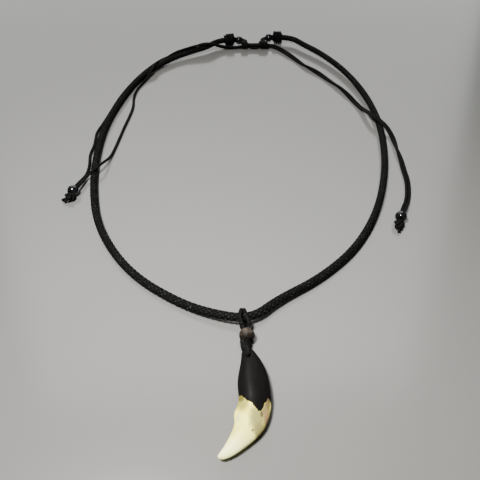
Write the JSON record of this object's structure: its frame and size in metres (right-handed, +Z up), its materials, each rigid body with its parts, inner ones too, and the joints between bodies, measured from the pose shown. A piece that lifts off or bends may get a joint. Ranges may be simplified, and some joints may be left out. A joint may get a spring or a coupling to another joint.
{
  "type": "wolf tooth necklace",
  "caption": "Braided cord necklace with a curved canine tooth pendant, a bronze bead and a sliding knot clasp with beaded tails, lying flat.",
  "frame": {"origin": "middle of the object's box, tails left out, on the surface that it lies on", "axes": "+Z up from the surface, +Y from the tooth towards the clasp, +X to the right seen from above with the clasp at the top"},
  "size_m": [0.1999, 0.3339, 0.0105],
  "materials": {
    "braided_cord": "black braided nylon, satin",
    "thin_cord": "black waxed thin cord, satin",
    "black_bead": "glossy black",
    "bronze_bead": "dark antique bronze, satin",
    "tooth": "polished ivory crown, black painted root"
  },
  "bodies": {
    "root": {"bail_strand_1": "thin_cord", "bail_strand_2": "thin_cord", "clasp_bead_left": "black_bead", "clasp_bead_right": "black_bead", "crossing_strand_1": "thin_cord", "crossing_strand_2": "thin_cord", "crossing_strand_3": "thin_cord", "crossing_strand_4": "thin_cord", "end_knot_left": "thin_cord", "end_knot_right": "thin_cord", "lead_left_1": "thin_cord", "lead_left_2": "thin_cord", "lead_right_1": "thin_cord", "lead_right_2": "thin_cord", "main_cord": "braided_cord", "pendant_bead": "bronze_bead", "pendant_knot": "thin_cord", "slide_knot_left": "thin_cord", "slide_knot_right": "thin_cord", "tail_bead_left": "black_bead", "tail_bead_right": "black_bead", "tail_knot_left": "thin_cord", "tail_knot_right": "thin_cord", "tail_left_inner": "thin_cord", "tail_left_outer": "thin_cord", "tail_right_inner": "thin_cord", "tail_right_outer": "thin_cord", "tooth": "tooth", "tooth_loop": "thin_cord"}
  },
  "joints": []
}
